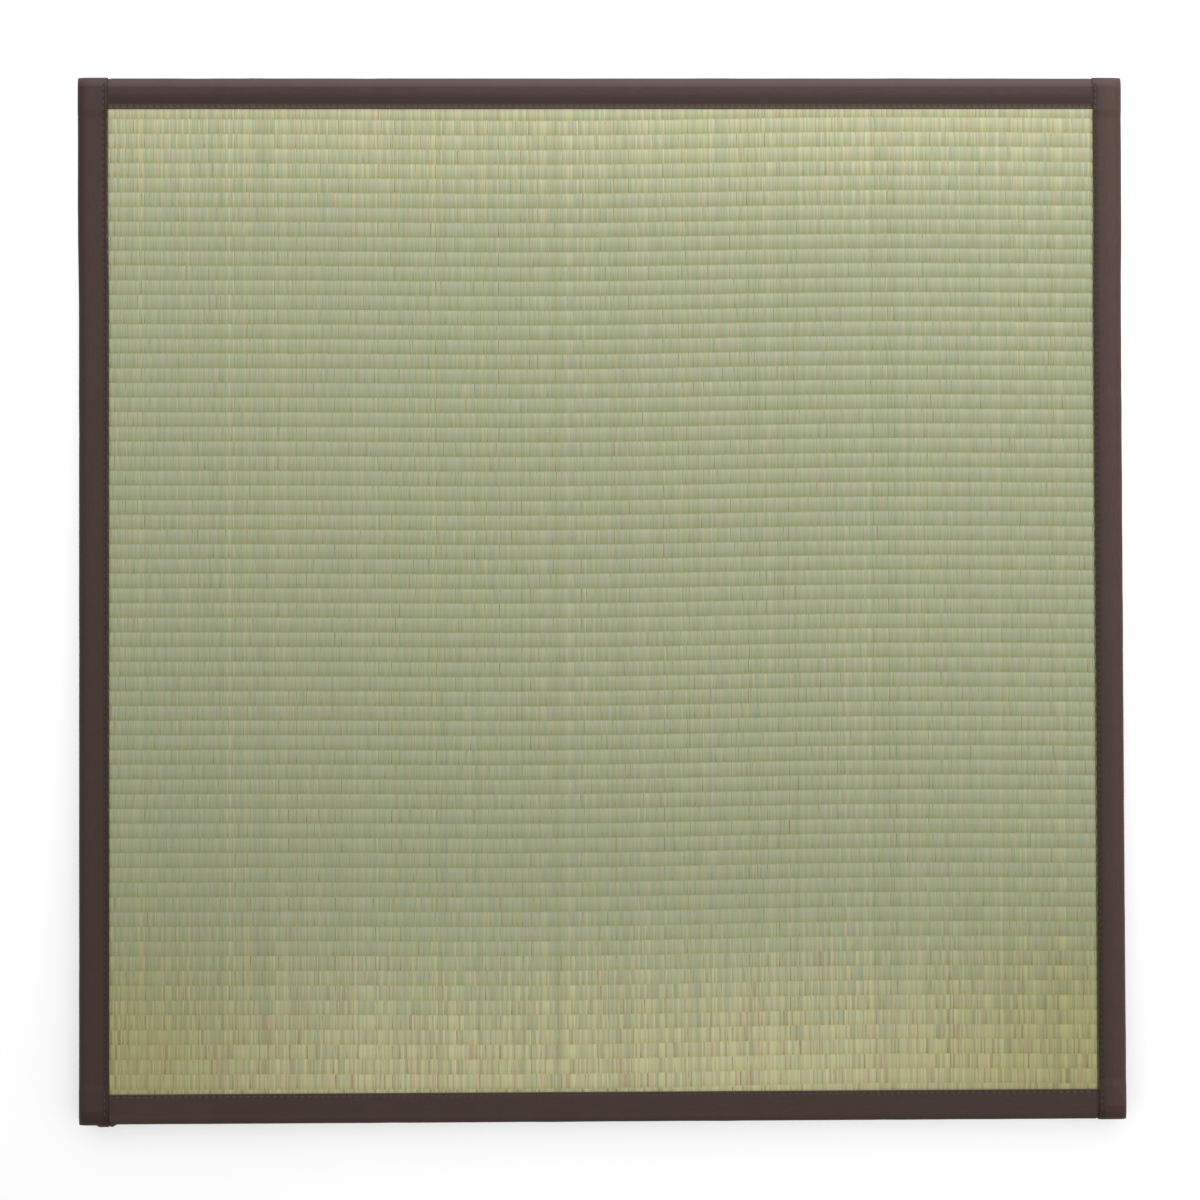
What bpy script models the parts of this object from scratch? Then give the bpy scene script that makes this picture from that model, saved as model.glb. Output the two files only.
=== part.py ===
"""A square tatami floor mat: a padded body with a ribbed rush face, bound in brown cloth on its four edges.

Metres, +Z up. The mat lies on its back, and the origin is the middle of its underside.
X runs along the ribs of the weave, and Y across them. The back edge is at +Y and the right edge at +X.
The end bindings, at the front and the back, are sewn on first. The side bindings, at the left and the right,
lap over them, rise a little where they do, and have their ends folded down over the ends of the mat.
"""

import math

import bmesh
import bpy

# Driving dimensions
SIDE = 0.820  # length of each edge of the mat, over the cloth
HEIGHT = 0.025  # at the corners, where the bindings lie two deep
FACE_WIDTH = 0.0243  # of binding that shows on the face, and as much is turned under the mat
CLOTH = 0.0012  # thickness of a binding, which is two layers of cloth at its hem
GAP = 0.00031  # between pieces that lie on each other
EDGE_RADIUS = 0.007  # of the cloth where it turns over the mat's long edges
CORNER_RADIUS = 0.003  # of the cloth at the four upright corners
RIB_COUNT = 67  # from the front binding to the back binding
RIB_DEPTH = 0.0012  # from the crest of a rib to the valley beside it
PROUD = 0.0008  # how far the end bindings stand above the crests of the ribs
RISE_LENGTH = 0.007  # in which a side binding climbs onto an end binding
RIB_STEPS = 6  # straight pieces in a rib, an even number so that one point is its crest
ROUND_STEPS = 5  # straight pieces in a rounded edge

# Places that follow from them. Half sizes are measured from the middle of the mat.
LAYER = CLOTH + GAP  # what one layer of binding takes up
HALF = SIDE / 2
HEM = HALF - FACE_WIDTH  # inner edge of every binding
STEP = HEM - GAP  # where the body is stepped down for the bindings
TURN = HALF - EDGE_RADIUS  # where every rounded edge begins
SIDE_BODY = HALF - LAYER
END_TOP = HEIGHT - LAYER  # top of the end bindings
END_BOTTOM = LAYER
CREST = END_TOP - PROUD

RUSH_COLOUR = (0.36, 0.38, 0.22, 1)
CLOTH_COLOUR = (0.075, 0.048, 0.038, 1)


def clear_scene():
    for obj in list(bpy.data.objects):
        bpy.data.objects.remove(obj)


def make_material(name, colour, roughness):
    made = bpy.data.materials.new(name)
    made.use_nodes = True
    shader = made.node_tree.nodes["Principled BSDF"]
    shader.inputs["Base Color"].default_value = colour
    shader.inputs["Roughness"].default_value = roughness
    shader.inputs["Metallic"].default_value = 0
    return made


def add_object(name, bm, finish=None):
    mesh = bpy.data.meshes.new(name)
    bm.to_mesh(mesh)
    bm.free()
    obj = bpy.data.objects.new(name, mesh)
    bpy.context.scene.collection.objects.link(obj)
    if finish:
        mesh.materials.append(finish)
    return obj


def arc(centre, radius, start, end):
    """Points of an arc in an outline's plane, from one angle in degrees to another."""
    points = []
    for step in range(ROUND_STEPS + 1):
        angle = math.radians(start + (end - start) * step / ROUND_STEPS)
        points.append((centre[0] + radius * math.cos(angle), centre[1] + radius * math.sin(angle)))
    return points


def along_x(along, across, up):
    return (along, across, up)


def along_y(along, across, up):
    return (across, along, up)


def prism(name, outline, place, reach, finish=None):
    """A closed outline of (across, up) points drawn out from -reach to reach, along X or along Y."""
    bm = bmesh.new()
    start = bm.faces.new([bm.verts.new(place(-reach, across, up)) for across, up in outline])
    drawn = bmesh.ops.extrude_face_region(bm, geom=[start])["geom"]
    far_end = [vert for vert in drawn if isinstance(vert, bmesh.types.BMVert)]
    bmesh.ops.translate(bm, verts=far_end, vec=place(2 * reach, 0, 0))
    bmesh.ops.recalc_face_normals(bm, faces=bm.faces)
    return add_object(name, bm, finish)


def cut_away(target, cutter):
    cutter.hide_render = True
    cutter.display_type = "WIRE"
    boolean = target.modifiers.new(cutter.name, "BOOLEAN")
    boolean.operation = "DIFFERENCE"
    boolean.object = cutter


def ribbed_face():
    """The rush face cut across its ribs, from the front binding to the back binding."""
    pitch = 2 * STEP / RIB_COUNT
    points = []
    for step in range(RIB_COUNT * RIB_STEPS + 1):
        ribs = step / RIB_STEPS
        rise = abs(math.sin(math.pi * ribs))
        points.append((ribs * pitch - STEP, CREST - RIB_DEPTH * (1 - rise)))
    return points


def body_outline():
    """The mat cut from front to back: ribbed face, rounded ends that are thinner under the bindings, flat base."""
    ledge = END_TOP - LAYER
    shelf = END_BOTTOM + LAYER
    radius = EDGE_RADIUS - 2 * LAYER
    return [
        *ribbed_face(),
        (STEP, ledge),
        *arc((TURN, ledge - radius), radius, 90, 0),
        *arc((TURN, shelf + radius), radius, 0, -90),
        (STEP, shelf),
        (STEP, 0),
        (-STEP, 0),
        (-STEP, shelf),
        *arc((-TURN, shelf + radius), radius, 270, 180),
        *arc((-TURN, ledge - radius), radius, 180, 90),
        (-STEP, ledge),
    ]


def side_cutter_outline(sign):
    """What is taken off a side of the body, so that the side binding goes round it."""
    radius = EDGE_RADIUS - LAYER
    beyond = HALF + FACE_WIDTH
    points = [
        (STEP, -HEIGHT),
        (STEP, LAYER),
        *arc((TURN, LAYER + radius), radius, -90, 0),
        *arc((TURN, CREST - radius), radius, 0, 90),
        (TURN, 2 * HEIGHT),
        (beyond, 2 * HEIGHT),
        (beyond, -HEIGHT),
    ]
    return [(sign * across, up) for across, up in points]


def make_body(finish):
    body = prism("rush_mat", body_outline(), along_x, HALF, finish)
    for name, sign in (("left", -1), ("right", 1)):
        cutter = prism("side_cut_" + name, side_cutter_outline(sign), along_y, SIDE)
        cut_away(body, cutter)
    return body


def end_binding_outline(sign):
    """The cloth cut across: over the face, round the edge, down the end, and back under the mat."""
    outer = EDGE_RADIUS - LAYER
    inner = outer - CLOTH
    points = [
        (HEM, END_TOP),
        *arc((TURN, END_TOP - outer), outer, 90, 0),
        *arc((TURN, END_BOTTOM + outer), outer, 0, -90),
        (HEM, END_BOTTOM),
        (HEM, END_BOTTOM + CLOTH),
        *arc((TURN, END_BOTTOM + outer), inner, -90, 0),
        *arc((TURN, END_TOP - outer), inner, 0, 90),
        (HEM, END_TOP - CLOTH),
    ]
    return [(sign * across, up) for across, up in points]


def make_end_binding(name, sign, finish):
    """One strip from side to side. The side bindings cover its two cut ends, which stop where the edge turns."""
    return prism(name, end_binding_outline(sign), along_x, TURN, finish)


def make_side_binding(name, sign, finish):
    """A cover for one side of the mat: a box open towards the mat, its edges rounded, then given its thickness."""
    bm = bmesh.new()
    bmesh.ops.create_cube(bm, size=1)
    bmesh.ops.scale(bm, vec=(FACE_WIDTH, SIDE, HEIGHT), verts=bm.verts)
    bmesh.ops.translate(bm, vec=(sign * (HEM + FACE_WIDTH / 2), 0, HEIGHT / 2), verts=bm.verts)
    towards_mat = [face for face in bm.faces if face.normal.x * sign < -0.5]
    bmesh.ops.delete(bm, geom=towards_mat, context="FACES_ONLY")

    # The top is lower between the end bindings, and climbs onto them just before their hems
    climb_end = HEM - LAYER
    climb_start = climb_end - RISE_LENGTH
    for place in (-climb_end, -climb_start, climb_start, climb_end):
        everything = [*bm.verts, *bm.edges, *bm.faces]
        bmesh.ops.bisect_plane(bm, geom=everything, plane_co=(0, place, 0), plane_no=(0, 1, 0))
    for vert in bm.verts:
        if vert.co.z > HEIGHT / 2 and abs(vert.co.y) < (climb_start + climb_end) / 2:
            vert.co.z -= PROUD

    weights = bm.edges.layers.float.new("bevel_weight_edge")
    for edge in bm.edges:
        if len(edge.link_faces) == 2 and edge.calc_face_angle() > math.radians(45):
            upright = abs(edge.verts[0].co.z - edge.verts[1].co.z) > HEIGHT / 2
            edge[weights] = CORNER_RADIUS / EDGE_RADIUS if upright else 1
    cover = add_object(name, bm, finish)

    bevel = cover.modifiers.new("rounded", "BEVEL")
    bevel.limit_method = "WEIGHT"
    bevel.width = EDGE_RADIUS
    bevel.segments = ROUND_STEPS

    solidify = cover.modifiers.new("cloth", "SOLIDIFY")
    solidify.thickness = CLOTH
    solidify.offset = -1
    solidify.use_even_offset = True
    return cover


def main():
    clear_scene()
    rush = make_material("rush", RUSH_COLOUR, 0.6)
    cloth = make_material("binding_cloth", CLOTH_COLOUR, 0.8)
    make_body(rush)
    make_end_binding("binding_back", 1, cloth)
    make_end_binding("binding_front", -1, cloth)
    make_side_binding("binding_left", -1, cloth)
    make_side_binding("binding_right", 1, cloth)


main()
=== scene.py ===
import math

import bmesh
import bpy
import numpy as np
from mathutils import Matrix, Vector


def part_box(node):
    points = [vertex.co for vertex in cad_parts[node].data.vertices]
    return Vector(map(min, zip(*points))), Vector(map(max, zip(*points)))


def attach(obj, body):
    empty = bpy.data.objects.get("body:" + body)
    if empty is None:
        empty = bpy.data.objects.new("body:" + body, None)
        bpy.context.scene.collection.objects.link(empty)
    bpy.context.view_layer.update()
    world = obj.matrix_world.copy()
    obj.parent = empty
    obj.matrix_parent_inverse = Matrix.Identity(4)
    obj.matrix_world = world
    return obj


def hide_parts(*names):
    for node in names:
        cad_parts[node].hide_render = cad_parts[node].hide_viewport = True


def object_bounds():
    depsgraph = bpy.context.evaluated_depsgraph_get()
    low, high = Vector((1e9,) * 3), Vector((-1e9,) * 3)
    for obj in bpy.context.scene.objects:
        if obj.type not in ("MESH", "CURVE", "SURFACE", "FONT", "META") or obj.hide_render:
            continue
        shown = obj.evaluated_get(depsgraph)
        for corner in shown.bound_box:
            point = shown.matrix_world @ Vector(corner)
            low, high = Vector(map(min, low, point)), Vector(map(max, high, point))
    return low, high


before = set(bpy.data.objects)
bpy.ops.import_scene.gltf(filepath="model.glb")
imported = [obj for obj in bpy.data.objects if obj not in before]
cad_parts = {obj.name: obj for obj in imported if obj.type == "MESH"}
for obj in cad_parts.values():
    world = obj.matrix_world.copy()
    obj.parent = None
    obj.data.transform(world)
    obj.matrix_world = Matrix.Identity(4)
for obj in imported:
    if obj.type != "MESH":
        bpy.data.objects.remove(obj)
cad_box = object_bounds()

# Camera: the mat is seen from straight above, with its back edge at the top of the picture. The lens is long, and
# the camera stands a little to the left and to the front of the mat's middle, so its sides draw in towards the top.
LENS = 85
CAMERA_PLACE = Vector((-0.0394, -0.0375, 2.2412))
CAMERA_AIM = Vector((-0.0017, -0.0009, 0))
CAMERA_ROLL = math.radians(-0.1911)

backward = (CAMERA_PLACE - CAMERA_AIM).normalized()
level = Vector((0, 1, 0)).cross(backward).normalized()
upward = backward.cross(level)
across_picture = level * math.cos(CAMERA_ROLL) + upward * math.sin(CAMERA_ROLL)
up_picture = upward * math.cos(CAMERA_ROLL) - level * math.sin(CAMERA_ROLL)
camera_data = bpy.data.cameras.new("camera")
camera_data.lens = LENS
camera_data.sensor_width = 36
camera_data.clip_start = 0.01
camera = bpy.data.objects.new("camera", camera_data)
turned = Matrix((across_picture, up_picture, backward)).transposed().to_4x4()
camera.matrix_world = Matrix.Translation(CAMERA_PLACE) @ turned
bpy.context.scene.collection.objects.link(camera)
bpy.context.scene.camera = camera
bpy.context.scene.view_settings.view_transform = "Standard"

# Studio: a plain white floor under an even white surround, with one large soft fill lamp behind the mat and a little
# to the right. It makes the back of the mat lighter than the front, rakes across the ribs, and casts no shadow.
FLOOR_SIZE = 12.0
FLOOR_COLOUR = (0.97, 0.97, 0.97, 1)
SURROUND = 0.68
LAMP_PLACE = Vector((0.55, 1.80, 1.70))
LAMP_AIM = Vector((0.0, 0.0, 0))
LAMP_SIZE = 1.2
LAMP_POWER = 56.0

floor_mesh = bpy.data.meshes.new("floor")
reach = FLOOR_SIZE / 2
corners = [(-reach, -reach, 0), (reach, -reach, 0), (reach, reach, 0), (-reach, reach, 0)]
floor_mesh.from_pydata(corners, [], [(0, 1, 2, 3)])
floor_finish = bpy.data.materials.new("floor_white")
floor_finish.use_nodes = True
floor_shader = floor_finish.node_tree.nodes["Principled BSDF"]
floor_shader.inputs["Base Color"].default_value = FLOOR_COLOUR
floor_shader.inputs["Roughness"].default_value = 1.0
floor_shader.inputs["Specular IOR Level"].default_value = 0.0
floor_mesh.materials.append(floor_finish)
floor = bpy.data.objects.new("floor", floor_mesh)
bpy.context.scene.collection.objects.link(floor)

world = bpy.data.worlds.new("surround")
world.use_nodes = True
world.node_tree.nodes["Background"].inputs["Color"].default_value = (1, 1, 1, 1)
world.node_tree.nodes["Background"].inputs["Strength"].default_value = SURROUND
bpy.context.scene.world = world

lamp_data = bpy.data.lights.new("lamp", "AREA")
lamp_data.shape = "SQUARE"
lamp_data.size = LAMP_SIZE
lamp_data.energy = LAMP_POWER
lamp_data.use_shadow = False
lamp = bpy.data.objects.new("lamp", lamp_data)
lamp.location = LAMP_PLACE
lamp.rotation_euler = (LAMP_AIM - LAMP_PLACE).to_track_quat("-Z", "Y").to_euler()
lamp.visible_camera = False
bpy.context.scene.collection.objects.link(lamp)

# Body: a firm slab of pressed core, covered on its face by woven rush and closed underneath by a plain backing cloth.
# Only its ribbed top between the stalks and its underside inside the bindings can be seen.
HALF = cad_box[1][0]
HEIGHT = cad_box[1][2]
HEM = -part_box("binding_left")[1].x
END_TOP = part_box("binding_back")[1].z
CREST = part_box("rush_mat")[1].z
LAYER = HEIGHT - END_TOP
EDGE_RADIUS = 0.007
TURN = HALF - EDGE_RADIUS
BODY_STEP = HEM - 0.0003
RIB_COUNT = 67
RIB_DEPTH = 0.0009
RIB_PITCH = 0.011487
RIB_HIDDEN = 0.20
WAVE_LENGTH = 0.844
WAVES = ((1, 0.0012, -0.62), (2, 0.00047, -1.37))
HEM_PRESS = 0.0009
PRESS_START = HEM - 0.0036
PRESS_END = HEM + 0.0004
BODY_CLEAR = 0.0001
BODY_TUCK = 0.0014
BODY_SINK = 0.00020
BODY_RIB_SHARE = 0.5
STEP_WIDTH = 0.0002
UNDER_RUSH_SHADED = (0.10, 0.105, 0.045, 1)
UNDER_RUSH_SHADED_PALE = (0.17, 0.165, 0.08, 1)
BACKING_COLOUR = (0.23, 0.21, 0.18, 1)
BACKING_DARK = (0.17, 0.155, 0.13, 1)


class Wire:
    """A socket in a node tree: arithmetic on it adds Math nodes, and node() adds any other node."""

    def __init__(self, tree, socket=None):
        self.tree = tree
        self.socket = socket

    def node(self, kind, settings=None, values=None, output=0):
        made = self.tree.nodes.new(kind)
        for name, value in (settings or {}).items():
            setattr(made, name, value)
        for name, value in (values or {}).items():
            if isinstance(value, Wire):
                self.tree.links.new(value.socket, made.inputs[name])
            else:
                made.inputs[name].default_value = value
        return Wire(self.tree, made.outputs[output] if len(made.outputs) else None)

    def out(self, output):
        return Wire(self.tree, self.socket.node.outputs[output])

    def math(self, operation, *values):
        return self.node("ShaderNodeMath", {"operation": operation}, dict(enumerate(values)))

    def __add__(self, other):
        return self.math("ADD", self, other)

    def __radd__(self, other):
        return self.math("ADD", other, self)

    def __sub__(self, other):
        return self.math("SUBTRACT", self, other)

    def __rsub__(self, other):
        return self.math("SUBTRACT", other, self)

    def __mul__(self, other):
        return self.math("MULTIPLY", self, other)

    def __rmul__(self, other):
        return self.math("MULTIPLY", other, self)

    def __truediv__(self, other):
        return self.math("DIVIDE", self, other)

    def __pow__(self, other):
        return self.math("POWER", self, other)

    def sin(self):
        return self.math("SINE", self)

    def size(self):
        return self.math("ABSOLUTE", self)

    def floor(self):
        return self.math("FLOOR", self)

    def step(self, start, end):
        """0 up to start, 1 from end, and smooth between them."""
        values = {"Value": self, "From Min": start, "From Max": end}
        return self.node("ShaderNodeMapRange", {"interpolation_type": "SMOOTHSTEP"}, values)

    def mix(self, first, second, way="MIX"):
        """The first colour where this is 0, and the second where it is 1."""
        settings = {"data_type": "RGBA", "blend_type": way}
        return self.node("ShaderNodeMix", settings, {0: self, 6: first, 7: second}, 2)

    def vector(self, x=0.0, y=0.0, z=0.0):
        return self.node("ShaderNodeCombineXYZ", None, {0: x, 1: y, 2: z})

    def noise(self, place, scale, detail=2.0, roughness=0.5):
        values = {"Vector": place, "Scale": scale, "Detail": detail, "Roughness": roughness}
        return self.node("ShaderNodeTexNoise", None, values)

    def attribute(self, name):
        """A vector attribute of the mesh, as its three parts."""
        read = self.node("ShaderNodeAttribute", {"attribute_name": name}, None, 1)
        parts = self.node("ShaderNodeSeparateXYZ", None, {0: read})
        return parts, parts.out(1), parts.out(2)


def new_finish(name):
    made = bpy.data.materials.new(name)
    made.use_nodes = True
    made.node_tree.nodes["Principled BSDF"].inputs["Metallic"].default_value = 0
    return made, made.node_tree.nodes["Principled BSDF"], Wire(made.node_tree)


def feed(shader, socket, wire):
    wire.tree.links.new(wire.socket, shader.inputs[socket])


def quads(index):
    """The faces between neighbouring rows and columns of a grid of vertex numbers."""
    return np.stack([index[:-1, :-1], index[:-1, 1:], index[1:, 1:], index[1:, :-1]], -1).reshape(-1, 4)


def add_piece(name, points, faces, finishes):
    mesh = bpy.data.meshes.new(name)
    mesh.from_pydata(points.tolist(), [], faces)
    mesh.shade_smooth()
    for finish in finishes:
        mesh.materials.append(finish)
    made = bpy.data.objects.new(name, mesh)
    bpy.context.scene.collection.objects.link(made)
    return made


def wandering(x):
    """How far the ribs bend towards the back at a place across the mat: x is an array, or a wire of a node tree."""
    total = 0.0
    for count, height, start in WAVES:
        angle = x * (2 * math.pi * count / WAVE_LENGTH) + start
        total = (angle.sin() if isinstance(angle, Wire) else np.sin(angle)) * height + total
    return total


def pressed(distance):
    """How far the weave is pressed down near a hem, for a distance from the middle of the mat."""
    part = np.clip((distance - PRESS_START) / (PRESS_END - PRESS_START), 0, 1)
    return HEM_PRESS * part * part * (3 - 2 * part)


def outer_lines(radius):
    """Lines of the body's grid from its step out over its rounded edge, and how far the edge has turned at each."""
    turns = np.radians([0, 22.5, 45, 67.5, 90])
    places = [BODY_STEP, BODY_STEP + STEP_WIDTH, *(TURN - BODY_TUCK + radius * np.sin(turns))]
    return np.array(places), np.array([0, 0, *(radius * (1 - np.cos(turns)))])


# Columns run from left to right and rows from front to back, four rows to a rib
side_places, side_falls = outer_lines(EDGE_RADIUS - LAYER - BODY_CLEAR)
end_places, end_falls = outer_lines(EDGE_RADIUS - 2 * LAYER - BODY_CLEAR)
inner_columns = np.linspace(-BODY_STEP, BODY_STEP, 18)[1:-1]
column_x = np.concatenate([-side_places[::-1], inner_columns, side_places])
column_fall = np.concatenate([side_falls[::-1], 0 * inner_columns, side_falls])
column_out = (np.abs(column_x) > BODY_STEP + STEP_WIDTH / 2).astype(float)
rib_rows = np.arange(RIB_COUNT + 1, -0.6, -0.25)
row_x = np.broadcast_to(column_x, (len(rib_rows) + 2 * len(end_places), len(column_x)))
field_y = HEM - RIB_PITCH * (rib_rows[:, None] - RIB_HIDDEN) + wandering(column_x)[None, :]
squeeze = np.arange(1, len(rib_rows) + 1)[:, None] * (STEP_WIDTH / 4)
field_y = np.clip(field_y, squeeze - BODY_STEP, BODY_STEP - squeeze[::-1])
front_y = np.repeat(-end_places[::-1, None], len(column_x), 1)
back_y = np.repeat(end_places[:, None], len(column_x), 1)
row_y = np.concatenate([front_y, field_y, back_y])
row_fall = np.concatenate([end_falls[::-1], 0 * rib_rows, end_falls])[:, None]
row_out = (np.abs(row_y) > BODY_STEP + STEP_WIDTH / 2).astype(float)
ribbed = CREST - RIB_DEPTH - BODY_SINK + BODY_RIB_SHARE * RIB_DEPTH * np.abs(np.sin(np.pi * rib_rows))
ledge = END_TOP - LAYER - BODY_CLEAR
row_top = np.concatenate([np.full(len(end_places), ledge), ribbed, np.full(len(end_places), ledge)])
body_top = np.minimum(row_top[:, None] - row_fall, CREST - BODY_CLEAR - column_fall[None, :])
body_top = body_top - pressed(np.abs(row_y)) * (1 - row_out)
under_rows = row_out * (2 * LAYER + BODY_CLEAR) + row_fall
under_columns = column_out * (LAYER + BODY_CLEAR) + column_fall
body_bottom = np.maximum(under_rows, under_columns)
body_points = np.concatenate([
    np.stack([row_x, row_y, body_top], -1).reshape(-1, 3),
    np.stack([row_x, row_y, body_bottom], -1).reshape(-1, 3),
])
top_index = np.arange(row_x.size).reshape(row_x.shape)
under_index = top_index + row_x.size
rim = np.concatenate([top_index[0, :-1], top_index[:-1, -1], top_index[-1, :0:-1], top_index[:0:-1, 0]])
rim_pair = np.stack([np.append(rim, rim[0]) + row_x.size, np.append(rim, rim[0])])
top_faces = quads(top_index)
under_faces = quads(under_index)[:, ::-1]
rim_faces = quads(rim_pair)
body_faces = np.concatenate([top_faces, rim_faces, under_faces])

# Its top between the stalks is painted the dark olive of rush in shade, flecked a little paler
under_rush, under_rush_shader, wire = new_finish("rush_between_stalks_shaded")
place = wire.node("ShaderNodeTexCoord", None, None, 3)
fleck = wire.noise(place, 900.0, 3.0)
feed(under_rush_shader, "Base Color", fleck.mix(UNDER_RUSH_SHADED, UNDER_RUSH_SHADED_PALE))
under_rush_shader.inputs["Roughness"].default_value = 0.85

backing, backing_shader, wire = new_finish("backing_cloth")
place = wire.node("ShaderNodeTexCoord", None, None, 3)
felted = wire.noise(place, 420.0, 5.0, 0.65)
cloudy = wire.noise(place, 24.0, 3.0)
feed(backing_shader, "Base Color", (felted * 0.7 + cloudy * 0.3).mix(BACKING_DARK, BACKING_COLOUR))
backing_bump = wire.node("ShaderNodeBump", None, {"Strength": 0.6, "Distance": 0.0004, "Height": felted})
feed(backing_shader, "Normal", backing_bump)
backing_shader.inputs["Roughness"].default_value = 0.9

mat_body = add_piece("mat_body", body_points, body_faces.tolist(), [under_rush, backing])
body_finish = np.zeros(len(body_faces), np.int32)
body_finish[len(top_faces) + len(rim_faces):] = 1
mat_body.data.polygons.foreach_set("material_index", body_finish)
mat_body.data.set_sharp_from_angle(angle=math.radians(40))
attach(mat_body, "root")
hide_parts("rush_mat")

# Woven rush face: dried rush stalks run from front to back, each over one pair of warp threads and under the next.
# Every second stalk shows on a rib and the others on the next one. Each stalk is greenest in its middle, and yellow,
# tan or brown towards its root and its tip, at the front and the back of the mat. Five pieces make the one sheet.
STALK_COUNT = 599
STALK_PITCH = 0.0013
STALK_WIDTH = 0.00150
STALK_ROUND = 0.24
ARC_REACH = 1.12
FRONT_FLATTER = 0.58
BACK_FLATTER = 0.14
ARC_SPREAD = 0.6
FLARE = 0.0007
FLARE_FROM = 0.22
FLARE_TO = 0.31
BAND_RIBS = 14
BAND_COUNT = 5
MAP_GROUPS = 4
MAP_COLUMNS = 150
RUSH_GREEN = (0.254, 0.298, 0.168, 1)
RUSH_GREY_GREEN = (0.290, 0.298, 0.196, 1)
RUSH_OLIVE = (0.294, 0.297, 0.145, 1)
RUSH_YELLOW = (0.388, 0.373, 0.196, 1)
RUSH_TAN = (0.376, 0.315, 0.196, 1)
RUSH_BROWN = (0.235, 0.178, 0.10, 1)
RUSH_SHADE = (0.99, 0.955, 0.80, 1)
RUSH_AGED = (0.89, 0.875, 0.735, 1)
RUSH_HEM_SHADOW = (0.24, 0.23, 0.21, 1)

rush, rush_shader, wire = new_finish("rush_stalks")
stalk_tone, stalk_green, stalk_age = wire.attribute("stalk")
arc_tone, arc_green, arc_spot = wire.attribute("arc")
stalk_across, stalk_along, stalk_end = wire.attribute("on_stalk")
mat_x = wire.node("ShaderNodeSeparateXYZ", None, {0: wire.node("ShaderNodeTexCoord", None, None, 3)})
mat_y = mat_x.out(1)
forward = mat_y * -1.0
# Stalks are green in the middle of the mat, and yellow, tan or a little brown towards its front and back
to_front = forward.step(0.22, 0.40)
to_back = mat_y.step(0.24, 0.42)
cloud = wire.noise(wire.vector(mat_x, mat_y), 7.0, 2.0)
greenness = stalk_green * 0.65 + arc_green * 0.35
colour = greenness.step(0.15, 0.85).mix(RUSH_GREEN, RUSH_GREY_GREEN)
colour = (stalk_age.step(0.55, 1.0) * 0.55).mix(colour, RUSH_OLIVE)
yellowed = (to_front * 0.74 + to_back * 0.35 + cloud * 0.35 - stalk_age - 0.05).step(-0.12, 0.30)
colour = (yellowed * (to_front * 0.18 + 0.7)).mix(colour, RUSH_YELLOW)
tanned = ((to_front * 0.32 + to_back * 0.24) - stalk_green * 0.5 - arc_spot * 0.5 + 0.20).step(0.0, 0.12)
colour = (tanned * 0.65).mix(colour, RUSH_TAN)
browned = (to_front * 0.10 + 0.02 - arc_spot).step(0.0, 0.03)
colour = (browned * 0.5).mix(colour, RUSH_BROWN)
# The front corners have aged, and the front slope of each arch, turned away from the lamp, is darkened with painted
# shade
at_side = mat_x.size().step(0.12, 0.38)
aged = forward.step(0.12, 0.34) * at_side
colour = aged.mix(colour, aged.mix(colour, RUSH_AGED, "MULTIPLY"))
shaded_slope = stalk_along.step(0.05, -0.50)
colour = shaded_slope.mix(colour, shaded_slope.mix(colour, RUSH_SHADE, "MULTIPLY"))
# Each stalk and each arch has its own tone, with fine streaks along it
tone = (stalk_tone - 0.5) * 0.65 + (arc_tone - 0.5) * 0.45
tone_reach = 0.155 + to_front * 0.13 + to_back * 0.09
streak_place = wire.vector(
    stalk_across * 5.0 + stalk_tone * 90.0, stalk_along * 1.6 + arc_tone * 70.0, arc_spot * 40.0)
streaks = wire.noise(streak_place, 1.6, 3.0, 0.6)
edge_shade = stalk_end.size().step(0.40, 0.56)
paler = mat_y.step(0.28, 0.385) * 0.12 + forward.step(0.20, 0.385) * (1.0 - at_side) * 0.145
value = (tone * tone_reach + 1.0) * (1.0 - edge_shade * 0.04) * (streaks * 0.10 + 0.95)
# Painted shade over the left half of the face, strongest towards the front
left_shade = (mat_x * -1.0).step(0.0, 0.38) * forward.step(-0.20, 0.10) * 0.045
value = value * (paler + 0.968 - left_shade)
# A dark line where the face goes under the side hems
face_reach = (mat_x - 0.00045).size() - mat_y.step(FLARE_FROM, FLARE_TO) * FLARE
by_hem = face_reach.step(HEM - 0.0005, HEM + 0.0006)
colour = by_hem.mix(colour, by_hem.mix(colour, RUSH_HEM_SHADOW, "MULTIPLY"))
feed(rush_shader, "Base Color", wire.node(
    "ShaderNodeVectorMath", {"operation": "SCALE"}, {0: colour, "Scale": value}))
feed(rush_shader, "Roughness", streaks * 0.2 + 0.42)
stalk_bump = wire.node("ShaderNodeBump", None, {"Strength": 0.35, "Distance": 0.0001, "Height": streaks})
feed(rush_shader, "Normal", stalk_bump)
rush_shader.inputs["Specular IOR Level"].default_value = 0.4

weave = bpy.data.node_groups.new("rush_weave", "GeometryNodeTree")
weave_inputs = {}
for label, kind, value in (
    ("First rib", "NodeSocketInt", 0),
    ("Ribs", "NodeSocketInt", BAND_RIBS),
    ("Stalks", "NodeSocketInt", STALK_COUNT),
    ("Stalk pitch", "NodeSocketFloat", STALK_PITCH),
    ("Stalk width", "NodeSocketFloat", STALK_WIDTH),
    ("Rib depth", "NodeSocketFloat", RIB_DEPTH),
    ("Crest", "NodeSocketFloat", CREST),
):
    socket = weave.interface.new_socket(label, in_out="INPUT", socket_type=kind)
    socket.default_value = value
    weave_inputs[label] = socket.identifier
weave.interface.new_socket("Geometry", in_out="OUTPUT", socket_type="NodeSocketGeometry")
wire = Wire(weave)
given = wire.node("NodeGroupInput")
first_rib, ribs, stalks = given, given.out(1), given.out(2)
stalk_pitch, stalk_width, rib_depth, crest = given.out(3), given.out(4), given.out(5), given.out(6)


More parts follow.
